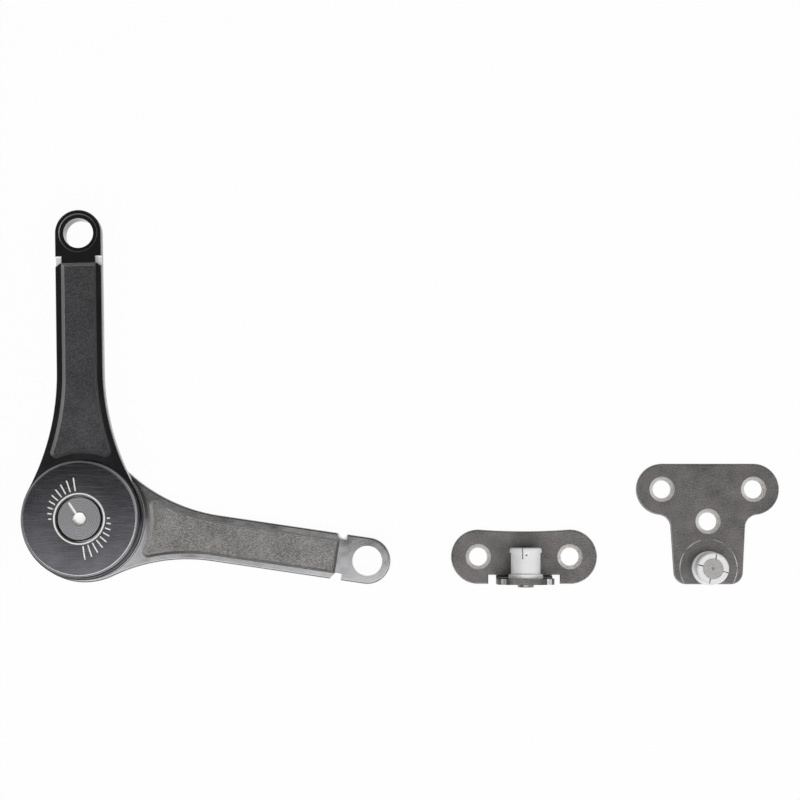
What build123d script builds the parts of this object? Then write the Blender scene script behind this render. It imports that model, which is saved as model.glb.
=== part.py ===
from build123d import *
import os
from math import asin, atan2, degrees, sqrt

# Lid stay: a two-arm friction stay, with the lid bracket and the cabinet bracket that it snaps on to.
#
# Lengths are millimetres and angles are degrees. The stay and both brackets lie on the resting
# plane z = 0, fronts up. The origin is the hub axis on that plane. +X runs towards the brackets,
# +Y runs along the upper arm and +Z points up, out of the fronts.

# --------------------------------------------------------------------------------------------
# Driving dimensions
# --------------------------------------------------------------------------------------------

# Clearances, all measured on the radius or face to face
running_clearance = 0.05        # a shaft that turns in its bore
seat_clearance = 0.02           # a piece pressed or riveted into its seat
loose_clearance = 0.3           # a piece that lies loosely in its recess

# Lay-out of the supplied set on the resting plane
arm_reach = 99.1                # hub axis to eye axis, both arms
upper_arm_direction = 91.35     # from +X, anticlockwise
lower_arm_direction = -8.4
lid_bracket_x = 152.7           # middle of the bracket's line of screw holes
lid_bracket_y = -13.1
cabinet_bracket_x = 217.0
cabinet_bracket_y = 10.4

# Arms: flat castings whose hub ring stands up from the bar, with a recessed panel on the front
# and a lightening recess on the back
hub_thickness = 8.0
bar_thickness = 5.0
arms_gap = 0.4                  # between the lower arm's front and the upper arm's back
bar_half_width = 8.05           # also the radius of the bar's round eye end
lower_hub_radius = 22.0
upper_hub_radius = 21.1
lower_flare_radius = 60.0       # concave run from the bar out to the hub
upper_flare_radius = 85.0
hub_ring_step = 0.8             # the hub ring is this much smaller than the hub's foot
hub_ring_edge_radius = 0.5
front_edge_radius = 0.6
back_edge_radius = 0.5

panel_depth = 1.2
panel_wall_slope = 38.0         # lean of the recess wall away from upright
rim_width = 2.05                # between the bar's edge and the mouth of the panel recess
panel_hub_radius = 22.6         # where the panel recess ends round the hub
panel_eye_distance = 10.5       # from the eye axis to the panel recess
panel_corner_radius = 2.0
back_recess_depth = 2.2
back_rim_width = 2.4

neck_near = 8.1                 # side notches: their two ends, measured from the eye axis
neck_far = 10.4
neck_lean = 1.5                 # slant of the far end over the notch's bite
neck_bite = 2.2                 # how far the notch reaches into the bar's width
neck_depth = 2.2                # how far it reaches down from the front

# Eyes and the snap bushes that they turn on
eye_bore_radius = 5.2
lip_seat_radius = 6.45          # shallow counterbore that takes the bush's snap lip
lip_seat_depth = 0.7
lip_seat_edge = 0.3
eye_boss_radius = 7.1           # raised boss round the bore on the eye's other side
eye_boss_height = 2.5
collar_radius = 6.2             # collar on top of the boss
collar_height = 0.5
pocket_far = 7.6                # small triangular pockets beside the boss, from the eye axis
pocket_near = 4.6
pocket_root = 3.7               # the pocket's tip, from the arm's centre line
pocket_depth = 0.6
pocket_edge_land = 1.5

bush_pin_radius = 3.5
bush_flange_radius = 5.95
bush_flange_thickness = 1.5
bush_axial_play = 0.1
bush_bore_play = 0.1            # between the bush and the eye, on the radius
bush_lip_radius = 5.5
bush_lip_height = 1.7
bush_lip_lead = 0.45            # chamfer that leads the lip into the eye
bush_slit_width = 0.4
bush_slit_length = 3.8
bush_slit_relief_radius = 0.35
bush_slit_count = 4
bush_slit_angle = 75.0
pin_end_drop = 0.1              # the pin ends this far inside the bush's free end
pin_centre_mark_radius = 0.45

# Hub, from the back to the front
back_cap_radius = 15.0
back_cap_thickness = 1.0
bolt_chamber_radius = 14.0
bolt_head_gap = 0.3             # between the cap and the bolt's head
bolt_head_radius = 9.0
bolt_head_thickness = 2.0
bolt_shank_radius = 5.0
bolt_flat_distance = 4.0        # from the axis to each of the two driving flats
bolt_stem_radius = 3.9
bolt_stem_play = 0.5            # between the stem's end and the floor of the dial's thread
back_washer_radius = 12.0
back_washer_thickness = 0.8
sleeve_wall = 1.0
lower_web_thickness = 2.9
lining_radius = 14.7
lining_inner_radius = 8.0
lining_recess_depth = 1.0
upper_web_thickness = 2.4
pressure_washer_thickness = 0.8
disc_spring_count = 4
disc_spring_radius = 10.0
disc_spring_thickness = 0.5
disc_spring_cone = 0.3
spring_chamber_radius = 14.9

# Cover plate and adjuster dial
cover_radius = 19.9
cover_edge_height = 2.6
cover_dome = 0.35
cover_edge_round = 0.8
cover_plate_thickness = 1.7
cover_spigot_wall = 1.6
cover_spigot_depth = 2.2
snap_ring_wire_radius = 0.5
snap_ring_groove_drop = 1.2     # from the upper arm's front to the middle of the ring
dial_opening_radius = 8.2
cover_ring_width = 0.75
cover_ring_height = 0.45
cover_ring_bevel = 0.25
tick_count = 9
tick_start_angle = 181.0
tick_step = 10.3
tick_inner_radius = 9.4
tick_shortest = 1.2
tick_growth = 0.45
tick_width = 0.5
tick_depth = 0.25
dial_gap = 0.6                  # between the dial and the cover's opening
dial_drop = 0.3                 # dial's front below the crown of the cover
dial_edge_bevel = 0.35
dial_boss_wall = 1.55
dial_boss_length = 2.6
dial_floor = 0.7                # left between the hex socket and the thread
hex_across_flats = 4.0
hex_depth = 2.0
hex_bevel = 0.45
pointer_angle = 124.0
pointer_reach = 6.6
pointer_width = 0.85
pointer_depth = 0.45

# Brackets
sheet_thickness = 2.0
sheet_edge_radius = 0.45
screw_spacing = 32.0
screw_hole_radius = 3.15
screw_sink_radius = 4.4
screw_sink_angle = 90.0
lid_plate_radius = 9.45
lid_plate_hollow = 0.6          # the long free edge bows inwards by this much
tab_half_width = 9.8
tab_height = 17.6
tab_corner_radius = 6.0
tab_bend_radius = 0.6           # inside of the fold
tab_relief_width = 2.7
tab_relief_margin = 0.5         # the relief notches reach this far past the fold
lid_pin_height = 10.7
cabinet_lobe_radius = 8.95
cabinet_third_hole_drop = 11.2
cabinet_pin_drop = 27.5
cabinet_plate_drop = 33.1       # from the line of holes to the lower edge
stem_shoulder_half_width = 13.5
stem_foot_half_width = 11.8
stem_shoulder_radius = 4.5
stem_foot_radius = 4.3
rivet_shank_radius = 2.3
rivet_head_radius = 2.8
rivet_head_height = 1.0
rivet_head_round = 0.4

# --------------------------------------------------------------------------------------------
# Levels and planes worked out from the dimensions above
# --------------------------------------------------------------------------------------------

lower_front = hub_thickness
upper_back = lower_front + arms_gap
upper_front = upper_back + hub_thickness
lower_bar_front = bar_thickness
upper_bar_front = upper_back + bar_thickness

bolt_head_back = back_cap_thickness + bolt_head_gap
bolt_head_front = bolt_head_back + bolt_head_thickness
lower_web_back = bolt_head_front + back_washer_thickness
lower_web_front = lower_web_back + lower_web_thickness
lining_thickness = lower_front - lower_web_front + arms_gap + lining_recess_depth
upper_web_back = lower_web_front + lining_thickness
upper_web_front = upper_web_back + upper_web_thickness
spring_stack_back = upper_web_front + pressure_washer_thickness
spring_pitch = disc_spring_thickness + disc_spring_cone
dial_back = spring_stack_back + disc_spring_count * spring_pitch

cover_edge_front = upper_front + cover_edge_height
cover_crown = cover_edge_front + cover_dome
cover_front = cover_crown + cover_ring_height
dial_front = cover_crown - dial_drop
dial_radius = dial_opening_radius - dial_gap
dial_thread_radius = bolt_stem_radius + running_clearance
dial_thread_front = dial_front - hex_depth - dial_floor
dial_boss_radius = dial_thread_radius + dial_boss_wall
bolt_front = dial_thread_front - bolt_stem_play

sleeve_bore_radius = bolt_shank_radius + running_clearance
sleeve_radius = sleeve_bore_radius + sleeve_wall
lining_recess_radius = lining_radius + loose_clearance
spring_bore_radius = dial_boss_radius + loose_clearance

eye_back_rise = eye_boss_height + collar_height
eye_thickness = bar_thickness + eye_back_rise
eye_grip = eye_thickness - lip_seat_depth
bush_radius = eye_bore_radius - bush_bore_play
bush_body_length = eye_grip + bush_axial_play
bush_length = bush_flange_thickness + bush_body_length + bush_lip_height
pin_length = bush_length - pin_end_drop

arms = {"lower_arm": lower_arm_direction, "upper_arm": upper_arm_direction}


def arm_plane(name, height):
    """Level plane over the hub axis whose X runs along the named arm."""
    return Plane.XY.offset(height).rotated((0, 0, arms[name]))


def disc(height, radius):
    """Round outline on the hub axis at the given level."""
    with BuildSketch(Plane.XY.offset(height)) as outline:
        Circle(radius)
    return outline.sketch


def ring(height, outer_radius, inner_radius):
    """Ring outline on the hub axis at the given level."""
    with BuildSketch(Plane.XY.offset(height)) as outline:
        Circle(outer_radius)
        Circle(inner_radius, mode=Mode.SUBTRACT)
    return outline.sketch


def keep(part, name):
    """Label a finished piece and write its file."""
    part.label = name
    export_step(part, f"parts/{name}.step")


os.makedirs("parts", exist_ok=True)

# --------------------------------------------------------------------------------------------
# Arms
# --------------------------------------------------------------------------------------------


def flare_run(hub_radius, flare_radius):
    """Distance from the hub axis to where the concave flare runs into the bar's edge."""
    return sqrt((hub_radius + flare_radius) ** 2 - (bar_half_width + flare_radius) ** 2)


def arm_outline(plane, hub_radius, flare_radius):
    """Outline of an arm: hub circle, hub flare, straight bar and round eye end."""
    bar_start = flare_run(hub_radius, flare_radius)
    flare_height = bar_half_width + flare_radius
    flare_turn = degrees(atan2(bar_start, flare_height))
    with BuildSketch(plane) as outline:
        with BuildLine():
            CenterArc((0, 0), hub_radius, 90 - flare_turn, 90 + flare_turn)
            CenterArc((bar_start, flare_height), flare_radius, 270 - flare_turn, flare_turn)
            Line((bar_start, bar_half_width), (arm_reach, bar_half_width))
            CenterArc((arm_reach, 0), bar_half_width, 0, 90)
            mirror(about=Plane.XZ)
        make_face()
    return outline.sketch


def panel_outline(plane, hub_radius, flare_radius, rim):
    """Outline of an arm's recess: it keeps one rim width and ends round the hub."""
    bar_start = flare_run(hub_radius, flare_radius)
    flare_height = bar_half_width + flare_radius
    inner_flare = flare_radius + rim
    half_width = bar_half_width - rim
    flare_start = panel_hub_radius / 2
    flare_angle = degrees(asin((bar_start - flare_start) / inner_flare))
    eye_end = arm_reach - panel_eye_distance
    with BuildSketch(plane) as outline:
        with BuildLine():
            side = Line((bar_start, half_width), (eye_end, half_width))
            flare = CenterArc((bar_start, flare_height), inner_flare, 270 - flare_angle, flare_angle)
            Line(side @ 1, (eye_end, 0))
            Line(flare @ 0, (flare_start, 0))
            mirror(about=Plane.XZ)
        make_face()
        Circle(panel_hub_radius, mode=Mode.SUBTRACT)
        fillet(outline.vertices().group_by(Axis.X)[0], panel_corner_radius)
    return outline.sketch


def neck_notches(plane):
    """Notches with a slanted far end that bite into both edges of the bar, next to the eye."""
    with BuildSketch(plane) as outline:
        with BuildLine():
            Polyline(
                (arm_reach - neck_near, bar_half_width + neck_bite),
                (arm_reach - neck_near, bar_half_width - neck_bite),
                (arm_reach - neck_far, bar_half_width - neck_bite),
                (arm_reach - neck_far - 2 * neck_lean, bar_half_width + neck_bite),
                close=True,
            )
        make_face()
        mirror(about=Plane.XZ)
    return outline.sketch


def eye_circle(plane, radius):
    """Round outline on the arm's eye axis."""
    with BuildSketch(plane) as outline:
        with Locations((arm_reach, 0)):
            Circle(radius)
    return outline.sketch


def eye_pockets(plane):
    """Two small triangular pockets between the boss and the bar's edges."""
    near_edge = bar_half_width - pocket_edge_land
    with BuildSketch(plane) as outline:
        with BuildLine():
            Polyline(
                (arm_reach - pocket_far, near_edge),
                (arm_reach - pocket_near, near_edge),
                (arm_reach - pocket_near, pocket_root),
                close=True,
            )
        make_face()
        mirror(about=Plane.XZ)
        with Locations((arm_reach, 0)):
            Circle(eye_boss_radius, mode=Mode.SUBTRACT)
    return outline.sketch


def arm_blank(casting, name, back, hub_radius, flare_radius):
    """Build the arm's casting: rounded outline, hub ring, panel, back recess and neck."""
    front_plane = arm_plane(name, back + bar_thickness)
    back_plane = arm_plane(name, back)
    extrude(arm_outline(back_plane, hub_radius, flare_radius), amount=bar_thickness)
    fillet(casting.edges().group_by(Axis.Z)[-1], front_edge_radius)
    fillet(casting.edges().group_by(Axis.Z)[0], back_edge_radius)
    hub_ring = disc(back + bar_thickness, hub_radius - hub_ring_step)
    extrude(hub_ring, amount=hub_thickness - bar_thickness)
    fillet(casting.edges().group_by(Axis.Z)[-1], hub_ring_edge_radius)
    panel = panel_outline(front_plane, hub_radius, flare_radius, rim_width)
    extrude(panel, amount=-panel_depth, taper=panel_wall_slope, mode=Mode.SUBTRACT)
    hollow = panel_outline(back_plane, hub_radius, flare_radius, back_rim_width)
    extrude(hollow, amount=back_recess_depth, mode=Mode.SUBTRACT)
    extrude(neck_notches(front_plane), amount=-neck_depth, mode=Mode.SUBTRACT)


def raise_collar(plane, outwards):
    """Stand the stepped collar on the eye, with the pockets beside it; outwards is +1 or -1 along Z."""
    extrude(eye_pockets(plane), amount=-outwards * pocket_depth, mode=Mode.SUBTRACT)
    extrude(eye_circle(plane, eye_boss_radius), amount=outwards * eye_boss_height)
    extrude(eye_circle(plane, collar_radius), amount=outwards * eye_back_rise)


def bore_eye(plane, inwards):
    """Bore the eye from its lip side and bevel the lip's counterbore; inwards is +1 or -1 along Z."""
    extrude(eye_circle(plane, eye_bore_radius), amount=inwards * eye_thickness, mode=Mode.SUBTRACT)
    seat = eye_circle(plane, lip_seat_radius)
    extrude(seat, amount=inwards * lip_seat_depth, mode=Mode.SUBTRACT)
    mouth = eye_circle(plane, lip_seat_radius + lip_seat_edge)
    extrude(mouth, amount=inwards * lip_seat_edge, taper=45, mode=Mode.SUBTRACT)


with BuildPart() as lower_arm:
    arm_blank(lower_arm, "lower_arm", 0, lower_hub_radius, lower_flare_radius)
    raise_collar(arm_plane("lower_arm", lower_bar_front), 1)
    bore_eye(arm_plane("lower_arm", 0), 1)
    extrude(disc(0, back_cap_radius + seat_clearance), amount=back_cap_thickness, mode=Mode.SUBTRACT)
    extrude(disc(0, bolt_chamber_radius), amount=lower_web_back, mode=Mode.SUBTRACT)
    extrude(disc(0, sleeve_radius + seat_clearance), amount=lower_front, mode=Mode.SUBTRACT)
    extrude(disc(lower_web_front, lining_recess_radius), amount=hub_thickness, mode=Mode.SUBTRACT)
keep(lower_arm.part, "lower_arm")

with BuildPart() as upper_arm:
    arm_blank(upper_arm, "upper_arm", upper_back, upper_hub_radius, upper_flare_radius)
    raise_collar(arm_plane("upper_arm", upper_back), -1)
    bore_eye(arm_plane("upper_arm", upper_bar_front), -1)
    extrude(disc(0, lining_recess_radius), amount=upper_web_back, mode=Mode.SUBTRACT)
    extrude(disc(upper_web_front, spring_chamber_radius), amount=hub_thickness, mode=Mode.SUBTRACT)
    with BuildSketch(arm_plane("upper_arm", upper_web_back)):
        Circle(bolt_shank_radius + seat_clearance)
        keyed_width = 2 * (bolt_flat_distance + seat_clearance)
        Rectangle(4 * bolt_shank_radius, keyed_width, mode=Mode.INTERSECT)
    extrude(amount=upper_web_thickness, mode=Mode.SUBTRACT)
    with BuildSketch(Plane.XZ):
        with Locations((spring_chamber_radius, upper_front - snap_ring_groove_drop)):
            Circle(snap_ring_wire_radius + seat_clearance)
    revolve(axis=Axis.Z, mode=Mode.SUBTRACT)
keep(upper_arm.part, "upper_arm")

# --------------------------------------------------------------------------------------------
# Hub: bolt, bearing, friction pieces and springs, from the back to the front
# --------------------------------------------------------------------------------------------

with BuildPart() as back_cap:
    extrude(disc(0, back_cap_radius), amount=back_cap_thickness)
    chamfer(back_cap.edges().group_by(Axis.Z)[0], back_cap_thickness / 4)
keep(back_cap.part, "back_cap")

with BuildPart() as centre_bolt:
    extrude(disc(bolt_head_back, bolt_head_radius), amount=bolt_head_thickness)
    extrude(disc(bolt_head_front, bolt_shank_radius), amount=upper_web_back - bolt_head_front)
    with BuildSketch(arm_plane("upper_arm", upper_web_back)):
        Circle(bolt_shank_radius)
        Rectangle(4 * bolt_shank_radius, 2 * bolt_flat_distance, mode=Mode.INTERSECT)
    extrude(amount=upper_web_thickness)
    extrude(disc(upper_web_front, bolt_stem_radius), amount=bolt_front - upper_web_front)
    chamfer(centre_bolt.edges().group_by(Axis.Z)[-1], bolt_stem_play)
keep(centre_bolt.part, "centre_bolt")

with BuildPart() as back_friction_washer:
    washer = ring(bolt_head_front, back_washer_radius, bolt_shank_radius + loose_clearance)
    extrude(washer, amount=back_washer_thickness)
keep(back_friction_washer.part, "back_friction_washer")

with BuildPart() as bearing_sleeve:
    extrude(ring(lower_web_back, sleeve_radius, sleeve_bore_radius), amount=lower_web_thickness)
keep(bearing_sleeve.part, "bearing_sleeve")

with BuildPart() as friction_lining:
    extrude(ring(lower_web_front, lining_radius, lining_inner_radius), amount=lining_thickness)
keep(friction_lining.part, "friction_lining")

with BuildPart() as pressure_washer:
    washer = ring(upper_web_front, disc_spring_radius, spring_bore_radius)
    extrude(washer, amount=pressure_washer_thickness)
keep(pressure_washer.part, "pressure_washer")

for number in range(disc_spring_count):
    back = spring_stack_back + number * spring_pitch
    # The springs face each other in turn, so they touch at their inner and outer edges.
    inner_rise = disc_spring_cone * (number % 2)
    outer_rise = disc_spring_cone - inner_rise
    with BuildPart() as disc_spring:
        with BuildSketch(Plane.XZ):
            with BuildLine():
                Polyline(
                    (spring_bore_radius, back + inner_rise),
                    (disc_spring_radius, back + outer_rise),
                    (disc_spring_radius, back + outer_rise + disc_spring_thickness),
                    (spring_bore_radius, back + inner_rise + disc_spring_thickness),
                    close=True,
                )
            make_face()
        revolve(axis=Axis.Z)
    keep(disc_spring.part, f"disc_spring_{number + 1}")

with BuildPart() as cover_snap_ring:
    with BuildSketch(Plane.XZ):
        with Locations((spring_chamber_radius, upper_front - snap_ring_groove_drop)):
            Circle(snap_ring_wire_radius)
    revolve(axis=Axis.Z)
keep(cover_snap_ring.part, "cover_snap_ring")

# --------------------------------------------------------------------------------------------
# Cover plate and adjuster dial
# --------------------------------------------------------------------------------------------

spigot_radius = spring_chamber_radius - seat_clearance
underside = cover_edge_front - cover_plate_thickness
ring_radius = dial_opening_radius + cover_ring_width

with BuildPart() as cover_plate:
    with BuildSketch(Plane.XZ) as profile:
        with BuildLine():
            edge = Line((cover_radius, upper_front), (cover_radius, cover_edge_front))
            dome_middle = ((cover_radius + ring_radius) / 2, cover_edge_front + 0.75 * cover_dome)
            dome = ThreePointArc(edge @ 1, dome_middle, (ring_radius, cover_crown))
            Polyline(
                dome @ 1,
                (ring_radius, cover_front),
                (dial_opening_radius, cover_front),
                (dial_opening_radius, underside),
                (spigot_radius - cover_spigot_wall, underside),
                (spigot_radius - cover_spigot_wall, upper_front - cover_spigot_depth),
                (spigot_radius, upper_front - cover_spigot_depth),
                (spigot_radius, upper_front),
                edge @ 0,
            )
        make_face()
        fillet(profile.vertices().sort_by_distance((cover_radius, cover_edge_front))[0], cover_edge_round)
        chamfer(profile.vertices().group_by(Axis.Y)[-1], cover_ring_bevel)
        with Locations((spring_chamber_radius, upper_front - snap_ring_groove_drop)):
            Circle(snap_ring_wire_radius + seat_clearance, mode=Mode.SUBTRACT)
    revolve(axis=Axis.Z)
    # Two equal scales, half a turn apart: the ticks grow longer as the stay is set tighter.
    with BuildSketch(Plane.XY.offset(cover_front)):
        for scale_turn in (0, 180):
            for number in range(tick_count):
                length = tick_shortest + number * tick_growth
                angle = tick_start_angle + scale_turn - number * tick_step
                with PolarLocations(tick_inner_radius + length / 2, 1, start_angle=angle):
                    SlotOverall(length, tick_width)
    tick_floor = cover_edge_front + cover_dome / 2 - tick_depth
    extrude(amount=tick_floor - cover_front, mode=Mode.SUBTRACT)
keep(cover_plate.part, "cover_plate")

with BuildPart() as adjuster_dial:
    extrude(disc(dial_back, dial_radius), amount=dial_front - dial_back)
    chamfer(adjuster_dial.edges().group_by(Axis.Z)[-1], dial_edge_bevel)
    extrude(disc(dial_back, dial_boss_radius), amount=-dial_boss_length)
    boss_back = dial_back - dial_boss_length
    extrude(disc(boss_back, dial_thread_radius), amount=dial_thread_front - boss_back, mode=Mode.SUBTRACT)
    with BuildSketch(Plane.XY.offset(dial_front)):
        RegularPolygon(hex_across_flats / 2, 6, major_radius=False, rotation=pointer_angle)
    extrude(amount=-hex_depth, mode=Mode.SUBTRACT)
    extrude(disc(dial_front, hex_across_flats / 2 + hex_bevel), amount=-hex_bevel, taper=45, mode=Mode.SUBTRACT)
    with BuildSketch(Plane.XY.offset(dial_front)):
        with PolarLocations((hex_across_flats / 2 + pointer_reach) / 2, 1, start_angle=pointer_angle):
            SlotOverall(pointer_reach - hex_across_flats / 2, pointer_width)
    extrude(amount=-pointer_depth, mode=Mode.SUBTRACT)
keep(adjuster_dial.part, "adjuster_dial")

# --------------------------------------------------------------------------------------------
# Brackets: sheet pieces, each with a pin riveted square to the sheet and a snap bush on the pin
# --------------------------------------------------------------------------------------------

tab_face = lid_bracket_y - lid_plate_radius
fold_radius = tab_bend_radius + sheet_thickness
cabinet_front = Plane((cabinet_bracket_x, cabinet_bracket_y, sheet_thickness))
lid_front = Plane((lid_bracket_x, lid_bracket_y, sheet_thickness))
cabinet_pin_seat = Plane((cabinet_bracket_x, cabinet_bracket_y - cabinet_pin_drop, sheet_thickness))
lid_pin_seat = Plane(
    origin=(lid_bracket_x, tab_face + sheet_thickness, lid_pin_height),
    x_dir=(-1, 0, 0),
    z_dir=(0, 1, 0),
)


def circle_on(plane, radius, *places):
    """Round outlines of one radius at the given places on a plane, or at its origin."""
    with BuildSketch(plane) as outline:
        with Locations(*(places or [(0, 0)])):
            Circle(radius)
    return outline.sketch


def cut_screw_holes(front, *places):
    """Cut countersunk screw holes into the given front plane, at places on that plane."""
    with Locations(*(front.location * Pos(*place) for place in places)):
        CounterSinkHole(screw_hole_radius, screw_sink_radius, sheet_thickness, screw_sink_angle)


with BuildPart() as cabinet_bracket:
    with BuildSketch(cabinet_front) as plate:
        with Locations((-screw_spacing / 2, 0), (screw_spacing / 2, 0)):
            Circle(cabinet_lobe_radius)
        with BuildLine():
            Polyline(
                (0, cabinet_lobe_radius),
                (screw_spacing / 2, cabinet_lobe_radius),
                (stem_shoulder_half_width, -cabinet_lobe_radius / 2),
                (stem_foot_half_width, -cabinet_plate_drop),
                (0, -cabinet_plate_drop),
            )
            mirror(about=Plane.YZ)
        make_face()
        by_height = plate.vertices().group_by(Axis.Y)
        fillet(by_height[0], stem_foot_radius)
        shoulders = plate.vertices().filter_by_position(
            Axis.Y, -cabinet_plate_drop / 2, -cabinet_lobe_radius / 2
        )
        fillet(shoulders, stem_shoulder_radius)
    extrude(amount=-sheet_thickness)
    fillet(cabinet_bracket.edges().group_by(Axis.Z)[-1], sheet_edge_radius)
    cut_screw_holes(
        cabinet_front,
        (-screw_spacing / 2, 0),
        (screw_spacing / 2, 0),
        (0, -cabinet_third_hole_drop),
    )
    rivet_bore = circle_on(cabinet_pin_seat, rivet_shank_radius + seat_clearance)
    extrude(rivet_bore, amount=-sheet_thickness, mode=Mode.SUBTRACT)
keep(cabinet_bracket.part, "cabinet_bracket")

with BuildPart() as lid_bracket:
    plate_length = screw_spacing + 2 * lid_plate_radius
    relief_reach = fold_radius + tab_relief_margin
    relief_half_width = tab_half_width + tab_relief_width
    with BuildSketch(lid_front):
        SlotOverall(plate_length, 2 * lid_plate_radius)
        # The long free edge is bowed inwards by a large circle.
        bow_radius = (screw_spacing**2 / 4 + lid_plate_hollow**2) / (2 * lid_plate_hollow)
        with Locations((0, lid_plate_radius - lid_plate_hollow + bow_radius)):
            Circle(bow_radius, mode=Mode.SUBTRACT)
        for side in (-1, 1):
            with Locations((side * (tab_half_width + tab_relief_width / 2), -lid_plate_radius)):
                Rectangle(tab_relief_width, 2 * relief_reach, mode=Mode.SUBTRACT)
        with Locations((0, -lid_plate_radius)):
            Rectangle(2 * relief_half_width, 2 * fold_radius, mode=Mode.SUBTRACT)
    extrude(amount=-sheet_thickness)
    fillet(lid_bracket.edges().group_by(Axis.Z)[-1], sheet_edge_radius)
    cut_screw_holes(lid_front, (-screw_spacing / 2, 0), (screw_spacing / 2, 0))
    # The tab leaves the plate level, turns up through the fold and stands square to the plate.
    tab_end = Plane(
        origin=(lid_bracket_x - tab_half_width, tab_face, 0), x_dir=(0, 1, 0), z_dir=(1, 0, 0)
    )
    with BuildSketch(tab_end):
        with BuildLine():
            CenterArc((fold_radius, fold_radius), fold_radius, 180, 90)
            CenterArc((fold_radius, fold_radius), tab_bend_radius, 180, 90)
            Line((fold_radius, 0), (fold_radius, sheet_thickness))
            Line((0, fold_radius), (sheet_thickness, fold_radius))
        make_face()
        with Locations((sheet_thickness / 2, (fold_radius + tab_height) / 2)):
            Rectangle(sheet_thickness, tab_height - fold_radius)
    extrude(amount=2 * tab_half_width)
    tab_corners = lid_bracket.edges().filter_by(Axis.Y).group_by(Axis.Z)[-1]
    fillet(tab_corners, tab_corner_radius)
    rivet_bore = circle_on(lid_pin_seat, rivet_shank_radius + seat_clearance)
    extrude(rivet_bore, amount=-sheet_thickness, mode=Mode.SUBTRACT)
keep(lid_bracket.part, "lid_bracket")

# --------------------------------------------------------------------------------------------
# Pins and snap bushes, each built outwards from the sheet's face
# --------------------------------------------------------------------------------------------


def build_pin(pin, seat):
    """Build a riveted pin: round body with a centre mark, and a shank through the sheet."""
    extrude(circle_on(seat, bush_pin_radius), amount=pin_length)
    end = seat.offset(pin_length)
    mark = circle_on(end, pin_centre_mark_radius)
    extrude(mark, amount=-pin_centre_mark_radius / 2, taper=45, mode=Mode.SUBTRACT)
    extrude(circle_on(seat, rivet_shank_radius), amount=-sheet_thickness)


with BuildPart() as cabinet_pin:
    build_pin(cabinet_pin, cabinet_pin_seat)
keep(cabinet_pin.part, "cabinet_pin")

with BuildPart() as lid_pin:
    build_pin(lid_pin, lid_pin_seat)
    head_seat = lid_pin_seat.offset(-sheet_thickness)
    extrude(circle_on(head_seat, rivet_head_radius), amount=-rivet_head_height)
    fillet(lid_pin.edges().group_by(Axis.Y)[0], rivet_head_round)
keep(lid_pin.part, "lid_pin")

for name, seat in (("cabinet_bush", cabinet_pin_seat), ("lid_bush", lid_pin_seat)):
    body_base = seat.offset(bush_flange_thickness)
    lip_base = body_base.offset(bush_body_length)
    free_end = seat.offset(bush_length)
    with BuildPart() as bush:
        extrude(circle_on(seat, bush_flange_radius), amount=bush_flange_thickness)
        extrude(circle_on(body_base, bush_radius), amount=bush_body_length)
        extrude(circle_on(lip_base, bush_lip_radius), amount=bush_lip_height)
        bush_axis = Axis(seat.origin, seat.z_dir)
        chamfer(bush.edges().group_by(bush_axis)[-1], bush_lip_lead)
        extrude(circle_on(seat, bush_pin_radius + running_clearance), amount=bush_length, mode=Mode.SUBTRACT)
        for number in range(bush_slit_count):
            angle = bush_slit_angle + number * 360 / bush_slit_count
            with BuildSketch(free_end):
                with PolarLocations(bush_lip_radius, 1, start_angle=angle):
                    Rectangle(2 * (bush_lip_radius - bush_pin_radius), bush_slit_width)
            extrude(amount=-bush_slit_length, mode=Mode.SUBTRACT)
            slit_end = free_end.offset(-bush_slit_length).rotated((0, 0, angle)).rotated((0, 90, 0))
            extrude(circle_on(slit_end, bush_slit_relief_radius), amount=bush_lip_radius, mode=Mode.SUBTRACT)
    keep(bush.part, name)
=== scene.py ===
"""Looks of the lid stay: procedural finishes on the CAD frame, a white studio and the camera.

Everything is in metres, in the part's own frame: the hub axis is Z, the stay and its two
brackets lie on z = 0 with their fronts up.
"""

import math

import bpy
from mathutils import Matrix, Vector


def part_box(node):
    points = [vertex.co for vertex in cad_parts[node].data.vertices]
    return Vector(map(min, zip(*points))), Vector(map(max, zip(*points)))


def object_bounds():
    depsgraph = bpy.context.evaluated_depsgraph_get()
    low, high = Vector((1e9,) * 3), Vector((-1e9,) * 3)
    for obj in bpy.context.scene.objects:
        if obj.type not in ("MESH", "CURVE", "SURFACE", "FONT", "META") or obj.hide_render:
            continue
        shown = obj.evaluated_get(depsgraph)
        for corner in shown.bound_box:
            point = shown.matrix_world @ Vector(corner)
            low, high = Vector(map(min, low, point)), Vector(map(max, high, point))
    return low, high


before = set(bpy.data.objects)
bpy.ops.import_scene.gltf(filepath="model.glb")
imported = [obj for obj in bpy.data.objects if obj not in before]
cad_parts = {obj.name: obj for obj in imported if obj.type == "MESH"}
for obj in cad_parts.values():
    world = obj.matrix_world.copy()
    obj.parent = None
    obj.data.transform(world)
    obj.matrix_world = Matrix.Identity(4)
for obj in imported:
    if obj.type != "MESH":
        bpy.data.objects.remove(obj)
cad_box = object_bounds()

MM = 0.001

# Levels that the finishes follow
DIAL_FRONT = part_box("adjuster_dial")[1].z
COVER_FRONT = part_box("cover_plate")[1].z
HUB_HEIGHT = 8.0 * MM
BAR_HEIGHT = 5.0 * MM
PANEL_DEPTH = 1.2 * MM
BACK_RECESS_DEPTH = 2.2 * MM
NOTCH_DEPTH = 2.2 * MM
COVER_RADIUS = 19.9 * MM
COVER_RIM_WIDTH = 0.75 * MM
HUB_WALL_RADIUS = 22.4 * MM
POINTER_REACH = 7.0 * MM
TICK_MIDDLE_RADIUS = 12.2 * MM
TICK_HALF_LENGTH = 3.2 * MM
TICK_DEPTH = 0.9 * MM
SCRATCH_RADIUS = 10.0 * MM

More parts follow.
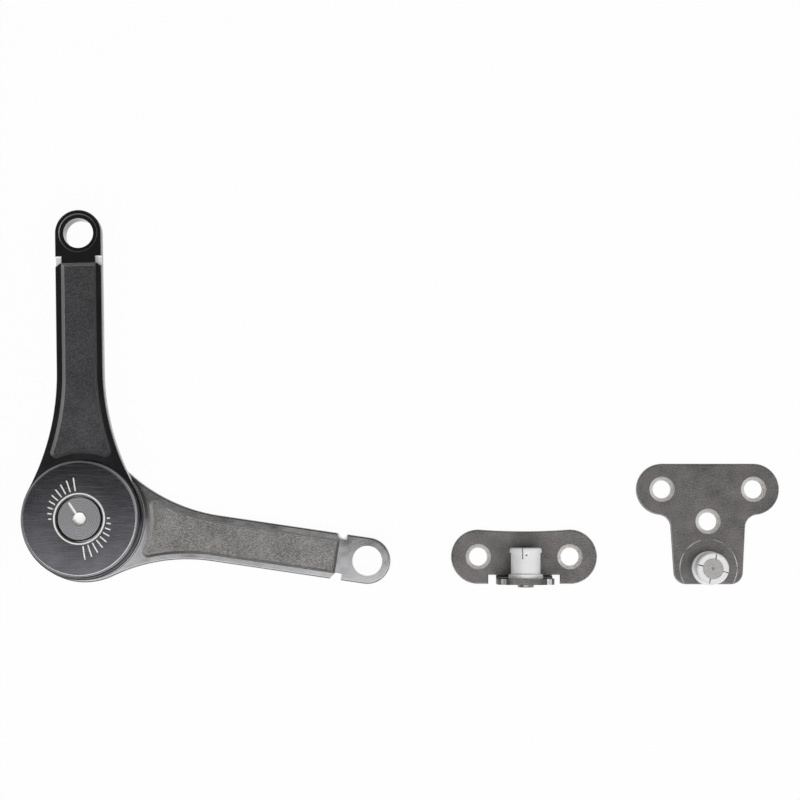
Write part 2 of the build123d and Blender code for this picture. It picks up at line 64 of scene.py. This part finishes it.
BRIGHT_METAL = (0.95, 0.95, 0.95)
FLOOR_GAP = 0.02 * MM
FLOOR_HALF_WIDTH = 3.0


# ------------------------------------------------------------------------------------------
# Node-tree builder
# ------------------------------------------------------------------------------------------

class Finish:
    """A metal or plastic finish: one Principled shader and short calls for what feeds it."""

    def __init__(self, name, metallic=1.0, roughness=0.3):
        self.material = bpy.data.materials.new(name)
        self.material.use_nodes = True
        self.tree = self.material.node_tree
        self.tree.nodes.clear()
        output = self.tree.nodes.new("ShaderNodeOutputMaterial")
        self.shader = self.tree.nodes.new("ShaderNodeBsdfPrincipled")
        self.tree.links.new(self.shader.outputs["BSDF"], output.inputs["Surface"])
        self.shader.inputs["Metallic"].default_value = metallic
        self.shader.inputs["Roughness"].default_value = roughness
        self.place = self.tree.nodes.new("ShaderNodeTexCoord").outputs["Object"]
        self.normal = None

    def feed(self, socket, value):
        """Link a value into a socket, or set it there when it is a plain number or colour."""
        if isinstance(value, bpy.types.NodeSocket):
            self.tree.links.new(value, socket)
        elif isinstance(value, (tuple, list)):
            socket.default_value = (*value, 1.0)[:len(socket.default_value)]
        else:
            socket.default_value = value

    def math(self, operation, first, second=0.0, third=0.0):
        node = self.tree.nodes.new("ShaderNodeMath")
        node.operation = operation
        for socket, value in zip(node.inputs, (first, second, third)):
            self.feed(socket, value)
        return node.outputs[0]

    def ramp(self, value, low, high, start=0.0, end=1.0):
        """Map low..high to start..end, held flat outside."""
        node = self.tree.nodes.new("ShaderNodeMapRange")
        for socket, number in zip(node.inputs, (value, low, high, start, end)):
            self.feed(socket, number)
        return node.outputs[0]

    def mix(self, share, first, second):
        """Blend two colours."""
        node = self.tree.nodes.new("ShaderNodeMix")
        node.data_type = "RGBA"
        self.feed(node.inputs["Factor"], share)
        self.feed(node.inputs[6], first)
        self.feed(node.inputs[7], second)
        return node.outputs[2]

    def blend(self, share, first, second):
        """Blend two numbers."""
        node = self.tree.nodes.new("ShaderNodeMix")
        self.feed(node.inputs[0], share)
        self.feed(node.inputs[2], first)
        self.feed(node.inputs[3], second)
        return node.outputs[0]

    def axis(self, index):
        """One coordinate of the surface point: 0, 1 or 2."""
        node = self.tree.nodes.new("ShaderNodeSeparateXYZ")
        self.feed(node.inputs[0], self.place)
        return node.outputs[index]

    def mapped(self, stretch=(1, 1, 1), turn=0.0, origin=(0, 0, 0)):
        """The surface point seen from an origin, turned about Z and stretched."""
        shift = self.tree.nodes.new("ShaderNodeVectorMath")
        shift.operation = "SUBTRACT"
        self.feed(shift.inputs[0], self.place)
        shift.inputs[1].default_value = origin
        node = self.tree.nodes.new("ShaderNodeMapping")
        self.feed(node.inputs["Vector"], shift.outputs[0])
        node.inputs["Rotation"].default_value = (0, 0, math.radians(turn))
        node.inputs["Scale"].default_value = stretch
        return node.outputs[0]

    def noise(self, grain, detail=3.0, where=None, contrast=0.5):
        """Noise from 0 to 1 whose patches are about `grain` metres across."""
        node = self.tree.nodes.new("ShaderNodeTexNoise")
        self.feed(node.inputs["Vector"], where or self.place)
        node.inputs["Scale"].default_value = 1 / grain
        node.inputs["Detail"].default_value = detail
        node.inputs["Roughness"].default_value = 0.6
        return self.ramp(node.outputs[0], 0.5 - contrast / 2, 0.5 + contrast / 2)

    def level(self, heights, tolerance=0.12 * MM):
        """1 on the surfaces that lie at one of the given heights, 0 elsewhere."""
        mask = None
        for height in heights:
            here = self.math("COMPARE", self.axis(2), height, tolerance)
            mask = here if mask is None else self.math("MAXIMUM", mask, here)
        return mask

    def radius(self, centre=(0, 0, 0), flat_axis=2):
        """Distance from a line through the centre, along X, Y or Z."""
        keep = [0.0 if index == flat_axis else 1.0 for index in range(3)]
        node = self.tree.nodes.new("ShaderNodeVectorMath")
        node.operation = "LENGTH"
        self.feed(node.inputs[0], self.mapped(stretch=keep, origin=centre))
        return node.outputs["Value"]

    def facing(self, index=2):
        """One component of the surface's own normal."""
        coordinates = self.tree.nodes.new("ShaderNodeTexCoord")
        node = self.tree.nodes.new("ShaderNodeSeparateXYZ")
        self.feed(node.inputs[0], coordinates.outputs["Normal"])
        return node.outputs[index]

    def bump(self, height, depth):
        """Add a relief of the given real depth."""
        node = self.tree.nodes.new("ShaderNodeBump")
        node.inputs["Distance"].default_value = depth
        node.inputs["Strength"].default_value = 1.0
        self.feed(node.inputs["Height"], height)
        if self.normal is not None:
            self.feed(node.inputs["Normal"], self.normal)
        self.normal = node.outputs[0]
        self.feed(self.shader.inputs["Normal"], self.normal)

    def colour(self, value):
        self.feed(self.shader.inputs["Base Color"], value)

    def rough(self, value):
        self.feed(self.shader.inputs["Roughness"], value)

    def on(self, *nodes):
        """Give the finish to the named CAD nodes."""
        for name in nodes:
            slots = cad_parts[name].data.materials
            slots.clear()
            slots.append(self.material)


# ------------------------------------------------------------------------------------------
# Finishes
# ------------------------------------------------------------------------------------------

def casting(node, panel_dark, panel_light, rim, painted_slope_highlight):
    """Dark nickel-plated zinc: glossy rims with soft waves, grained matt panels, bright notches, and
    sloped walls past the hub in a lighter colour that is a painted highlight.
    """
    finish = Finish(node + "_plating")
    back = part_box(node)[1].z - HUB_HEIGHT
    bar_front = back + BAR_HEIGHT
    panel = finish.level([bar_front - PANEL_DEPTH, back + BACK_RECESS_DEPTH])
    notch = finish.level([bar_front - NOTCH_DEPTH])
    # Sloped walls past the hub: their lighter colour is a painted highlight standing in for the light
    # they reflect.
    lean = finish.math("COMPARE", finish.facing(2), 0.6, 0.12)
    past_hub = finish.math("GREATER_THAN", finish.radius(), HUB_WALL_RADIUS)
    lean = finish.math("MULTIPLY", lean, past_hub)
    grain = finish.noise(0.50 * MM, detail=4.0, contrast=0.34)
    speck = finish.noise(0.24 * MM, detail=2.0, contrast=0.40)
    clouds = finish.noise(9 * MM, detail=3.0, contrast=0.5)
    tone = finish.blend(0.25, finish.blend(0.4, grain, speck), clouds)
    grained = finish.mix(tone, panel_dark, panel_light)
    smooth = finish.mix(clouds, tuple(0.8 * part for part in rim), rim)
    face = finish.mix(panel, smooth, grained)
    face = finish.mix(lean, face, painted_slope_highlight)
    finish.colour(finish.mix(notch, face, BRIGHT_METAL))
    polish = finish.ramp(clouds, 0, 1, 0.10, 0.17)
    matt = finish.math("MAXIMUM", finish.math("MAXIMUM", panel, lean), notch)
    finish.rough(finish.blend(matt, polish, 0.45))
    wave = finish.noise(6 * MM, detail=1.0, contrast=1.0)
    finish.bump(finish.math("MULTIPLY", wave, finish.math("SUBTRACT", 1.0, panel)), 0.03 * MM)
    relief = finish.math("MULTIPLY", finish.blend(0.4, grain, speck), panel)
    finish.bump(relief, 0.10 * MM)
    finish.on(node)


def cover_finish():
    """Satin plating with fine brush lines, a rounded rim made brighter with a painted highlight, and
    bare metal in the ticks.
    """
    finish = Finish("cover_plating")
    along = finish.mapped((0.03, 1, 1), turn=-14)
    strokes = finish.noise(0.25 * MM, detail=3.0, where=along, contrast=0.45)
    cloud = finish.noise(7 * MM, detail=2.0, contrast=0.7)
    face = finish.mix(finish.blend(0.4, strokes, cloud), (0.03, 0.03, 0.033), (0.10, 0.10, 0.11))
    radius = finish.radius()
    height = finish.axis(2)
    scale_area = finish.math("COMPARE", radius, TICK_MIDDLE_RADIUS, TICK_HALF_LENGTH)
    sunk = finish.math("COMPARE", height, COVER_FRONT - TICK_DEPTH, 0.15 * MM)
    ticks = finish.math("MULTIPLY", scale_area, sunk)
    rim = finish.math("GREATER_THAN", radius, COVER_RADIUS - COVER_RIM_WIDTH)
    ring = finish.math("GREATER_THAN", height, COVER_FRONT - 0.30 * MM)
    bright = finish.math("MAXIMUM", ticks, ring)
    # The rounded rim's lighter colour is a painted highlight standing in for the light its curve
    # reflects.
    face = finish.mix(rim, face, (0.34, 0.34, 0.35))
    finish.colour(finish.mix(bright, face, (0.92, 0.92, 0.90)))
    bare_marks_and_rim_roughness = finish.math("MAXIMUM", bright, finish.math("MULTIPLY", rim, 0.4))
    finish.rough(finish.blend(bare_marks_and_rim_roughness, finish.ramp(strokes, 0, 1, 0.20, 0.30), 0.55))
    finish.bump(strokes, 0.006 * MM)
    finish.on("cover_plate")


def dial_finish():
    """Turned face with fine concentric marks; the socket and the pointer show bare metal."""
    finish = Finish("dial_turned")
    radius = finish.radius()
    marks = finish.math("SINE", finish.math("MULTIPLY", radius, 2 * math.pi / (0.55 * MM)))
    marks = finish.ramp(marks, -1, 1)
    fine = finish.noise(0.3 * MM, detail=2.0, contrast=0.6)
    face = finish.mix(finish.blend(0.5, marks, fine), (0.13, 0.13, 0.135), (0.27, 0.27, 0.275))
    sunk = finish.math("LESS_THAN", finish.axis(2), DIAL_FRONT - 0.2 * MM)
    cut = finish.math("MULTIPLY", sunk, finish.math("LESS_THAN", radius, POINTER_REACH))
    finish.colour(finish.mix(cut, face, (0.85, 0.84, 0.82)))
    finish.rough(finish.blend(cut, finish.ramp(marks, 0, 1, 0.27, 0.36), 0.5))
    finish.bump(marks, 0.012 * MM)
    finish.on("adjuster_dial")


def bracket_finish():
    """Stamped sheet with a grained dark plating, bright in the screw seats, with a pin scratch."""
    finish = Finish("bracket_plating")
    grain = finish.noise(0.5 * MM, detail=4.0, contrast=0.40)
    cloud = finish.noise(8 * MM, detail=3.0, contrast=0.5)
    face = finish.mix(finish.blend(0.45, grain, cloud), (0.045, 0.043, 0.042), (0.21, 0.20, 0.195))
    low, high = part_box("cabinet_pin")
    scratch_radius = finish.radius((low + high) / 2)
    scratch = finish.math("COMPARE", scratch_radius, SCRATCH_RADIUS, 0.12 * MM)
    scratch = finish.math("MULTIPLY", scratch, finish.noise(3 * MM, detail=1.0, contrast=0.3))
    face = finish.mix(finish.math("MULTIPLY", scratch, 0.6), face, (0.7, 0.68, 0.66))
    seat = finish.math("COMPARE", finish.facing(2), 0.72, 0.13)
    finish.colour(finish.mix(seat, face, (0.78, 0.76, 0.74)))
    finish.rough(finish.blend(seat, finish.ramp(grain, 0, 1, 0.34, 0.46), 0.4))
    finish.bump(grain, 0.04 * MM)
    finish.on("cabinet_bracket", "lid_bracket")


def pin_finish():
    """Turned steel with fine rings round each pin's own axis."""
    ring_pitch = 0.35 * MM
    for node, flat_axis in (("cabinet_pin", 2), ("lid_pin", 1)):
        low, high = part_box(node)
        finish = Finish(node + "_steel")
        radius = finish.radius((low + high) / 2, flat_axis)
        turns = finish.math("MULTIPLY", radius, 2 * math.pi / ring_pitch)
        marks = finish.ramp(finish.math("SINE", turns), -1, 1)
        patches = finish.noise(0.9 * MM, detail=3.0, contrast=0.5)
        tone = finish.blend(0.6, marks, patches)
        finish.colour(finish.mix(tone, (0.20, 0.195, 0.19), (0.40, 0.39, 0.38)))
        finish.rough(finish.ramp(patches, 0, 1, 0.30, 0.45))
        finish.bump(marks, 0.01 * MM)
        finish.on(node)


def nylon_finish():
    """White moulded nylon with a faint waviness."""
    finish = Finish("white_nylon", metallic=0.0, roughness=0.38)
    cloud = finish.noise(2.5 * MM, detail=2.0, contrast=0.8)
    finish.colour(finish.mix(cloud, (0.80, 0.80, 0.80), (0.88, 0.88, 0.885)))
    finish.bump(finish.noise(0.5 * MM, detail=2.0), 0.01 * MM)
    finish.on("cabinet_bush", "lid_bush")


def hidden_finishes():
    """Plain pieces inside the hub and the cap at its back."""
    springs = [f"disc_spring_{number}" for number in range(1, 5)]
    for name, dark, light, nodes in (
        ("inner_steel", (0.34, 0.34, 0.35), (0.46, 0.46, 0.47),
         ["centre_bolt", "pressure_washer", "cover_snap_ring", *springs]),
        ("sleeve_bronze", (0.46, 0.32, 0.16), (0.58, 0.42, 0.22), ["bearing_sleeve"]),
        ("back_cap_plating", (0.10, 0.10, 0.11), (0.16, 0.16, 0.17), ["back_cap"]),
    ):
        finish = Finish(name)
        streaks = finish.noise(0.4 * MM, detail=3.0, where=finish.mapped((0.1, 1, 1)))
        finish.colour(finish.mix(streaks, dark, light))
        finish.rough(finish.ramp(streaks, 0, 1, 0.25, 0.40))
        finish.bump(streaks, 0.008 * MM)
        finish.on(*nodes)
    fibre = Finish("friction_fibre", metallic=0.0, roughness=0.75)
    strands = fibre.noise(0.5 * MM, detail=4.0, where=fibre.mapped((1, 0.2, 1)))
    fibre.colour(fibre.mix(strands, (0.10, 0.07, 0.05), (0.24, 0.19, 0.14)))
    fibre.bump(strands, 0.04 * MM)
    fibre.on("friction_lining", "back_friction_washer")


# ------------------------------------------------------------------------------------------
# Studio
# ------------------------------------------------------------------------------------------

def white_floor():
    """A large level floor that shows as white and keeps a faint shadow."""
    half = FLOOR_HALF_WIDTH
    mesh = bpy.data.meshes.new("studio_floor")
    level = cad_box[0][2] - FLOOR_GAP
    corners = [(x, y, level) for x, y in ((-half, -half), (half, -half), (half, half), (-half, half))]
    mesh.from_pydata(corners, [], [(0, 1, 2, 3)])
    floor = bpy.data.objects.new("studio_floor", mesh)
    bpy.context.scene.collection.objects.link(floor)
    material = bpy.data.materials.new("studio_white")
    material.use_nodes = True
    tree = material.node_tree
    tree.nodes.clear()
    output = tree.nodes.new("ShaderNodeOutputMaterial")
    paint = tree.nodes.new("ShaderNodeBsdfDiffuse")
    paint.inputs["Color"].default_value = (0.8, 0.8, 0.8, 1)
    glow = tree.nodes.new("ShaderNodeEmission")
    glow.inputs["Color"].default_value = (1, 1, 1, 1)
    glow.inputs["Strength"].default_value = 1.0
    path = tree.nodes.new("ShaderNodeLightPath")
    seen = tree.nodes.new("ShaderNodeMath")
    seen.operation = "MAXIMUM"
    tree.links.new(path.outputs["Is Camera Ray"], seen.inputs[0])
    tree.links.new(path.outputs["Is Glossy Ray"], seen.inputs[1])
    either = tree.nodes.new("ShaderNodeMath")
    either.operation = "MAXIMUM"
    tree.links.new(seen.outputs[0], either.inputs[0])
    tree.links.new(path.outputs["Is Transmission Ray"], either.inputs[1])
    share = tree.nodes.new("ShaderNodeMath")
    share.operation = "MULTIPLY"
    tree.links.new(either.outputs[0], share.inputs[0])
    share.inputs[1].default_value = 0.97
    blend = tree.nodes.new("ShaderNodeMixShader")
    tree.links.new(share.outputs[0], blend.inputs[0])
    tree.links.new(paint.outputs[0], blend.inputs[1])
    tree.links.new(glow.outputs[0], blend.inputs[2])
    tree.links.new(blend.outputs[0], output.inputs["Surface"])
    mesh.materials.append(material)


def studio_world(level):
    """Dim even light all round; white where the camera looks past the floor."""
    world = bpy.data.worlds.new("studio")
    bpy.context.scene.world = world
    world.use_nodes = True
    tree = world.node_tree
    tree.nodes.clear()
    output = tree.nodes.new("ShaderNodeOutputWorld")
    room = tree.nodes.new("ShaderNodeBackground")
    room.inputs["Color"].default_value = (1, 1, 1, 1)
    room.inputs["Strength"].default_value = level
    white = tree.nodes.new("ShaderNodeBackground")
    white.inputs["Color"].default_value = (1, 1, 1, 1)
    white.inputs["Strength"].default_value = 1.0
    path = tree.nodes.new("ShaderNodeLightPath")
    blend = tree.nodes.new("ShaderNodeMixShader")
    tree.links.new(path.outputs["Is Camera Ray"], blend.inputs[0])
    tree.links.new(room.outputs[0], blend.inputs[1])
    tree.links.new(white.outputs[0], blend.inputs[2])
    tree.links.new(blend.outputs[0], output.inputs["Surface"])


def softbox(name, place, target, width, height, radiance):
    """A rectangular lamp of even radiance that faces its target."""
    lamp = bpy.data.lights.new(name, "AREA")
    lamp.shape = "RECTANGLE"
    lamp.size = width
    lamp.size_y = height
    lamp.energy = radiance * math.pi * width * height
    holder = bpy.data.objects.new(name, lamp)
    holder.location = place
    holder.rotation_euler = (Vector(target) - Vector(place)).to_track_quat("-Z", "Y").to_euler()
    bpy.context.scene.collection.objects.link(holder)


def camera():
    """Looks down on the set from nearly straight above."""
    foot = Vector((0.1093, -0.0043, 0.72))
    aim = Vector((0.1094, 0.0418, 0.0))
    width_at_aim = 0.2812
    view = bpy.data.cameras.new("camera")
    view.sensor_width = 36
    view.angle = 2 * math.atan(0.5 * width_at_aim / (aim - foot).length)
    eye = bpy.data.objects.new("camera", view)
    forward = (aim - foot).normalized()
    right = forward.cross(Vector((0, 1, 0))).normalized()
    up = right.cross(forward)
    turn = Matrix((right, up, -forward)).transposed()
    eye.matrix_world = Matrix.Translation(foot) @ turn.to_4x4()
    bpy.context.scene.collection.objects.link(eye)
    bpy.context.scene.camera = eye


# Colours: panel dark, panel light, rim, and last the lighter colour of the sloped walls, a painted
# highlight.
casting("upper_arm", (0.01, 0.01, 0.011),
        (0.13, 0.13, 0.135), (0.06, 0.06, 0.065), (0.42, 0.41, 0.39))
casting("lower_arm", (0.015, 0.015, 0.015),
        (0.42, 0.41, 0.40), (0.26, 0.26, 0.265), (0.62, 0.61, 0.60))
cover_finish()
dial_finish()
bracket_finish()
pin_finish()
nylon_finish()
hidden_finishes()

white_floor()
studio_world(0.22)
softbox("south_softbox", (0.1, -0.42, 1.0), (0.1, 0.0, 0.0), 1.4, 0.85, 2.6)
softbox("east_strip", (1.0, 0.1, 0.45), (0.1, 0.03, 0.0), 0.9, 0.3, 2.0)
camera()

bpy.context.scene.view_settings.view_transform = "Standard"
